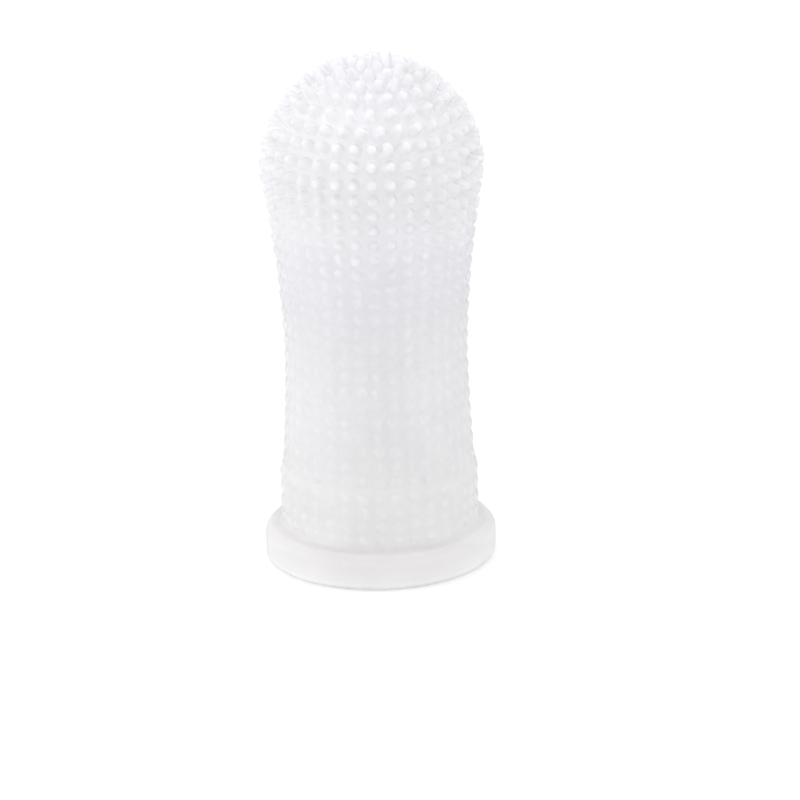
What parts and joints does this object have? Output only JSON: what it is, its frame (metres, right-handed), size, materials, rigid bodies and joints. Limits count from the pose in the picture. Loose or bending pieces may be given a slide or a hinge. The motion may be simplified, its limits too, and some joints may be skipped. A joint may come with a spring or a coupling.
{
  "type": "finger toothbrush",
  "caption": "Soft silicone finger toothbrush for pets: a thimble with a rounded rim, a waisted sleeve with nubs and a domed head covered with cone bristles.",
  "frame": {"origin": "centre of the rim's foot, on the surface that the brush stands on", "axes": "+Z along the finger bore, from the mouth to the tip of the domed head; the brush bends about X, so the fingertip swings along Y"},
  "size_m": [0.0246, 0.0246, 0.055],
  "materials": {
    "rim": "satin translucent silicone",
    "shell": "satin translucent silicone",
    "bristles": "satin translucent silicone"
  },
  "bodies": {
    "sleeve": {"rim_ring": "rim", "cuff_band": "shell", "lower_sleeve": "shell", "flex_neck": "shell", "cuff_nubs": "bristles", "lower_sleeve_nubs": "bristles", "neck_nubs": "bristles"},
    "head": {"upper_sleeve": "shell", "head_dome": "shell", "upper_sleeve_nubs": "bristles", "shoulder_bristles": "bristles", "dome_bristles_low": "bristles", "dome_bristles_middle": "bristles", "dome_bristles_high": "bristles", "crown_bristles": "bristles"}
  },
  "joints": [
    {"name": "finger_bend", "type": "hinge", "parent": "sleeve", "child": "head", "pos_m": [0, 0, 0.0243], "axis": [1, 0, 0], "range_deg": [-30, 30], "stiffness_Nm_per_rad": 0.12, "deforming": ["flex_neck", "neck_nubs"]}
  ]
}
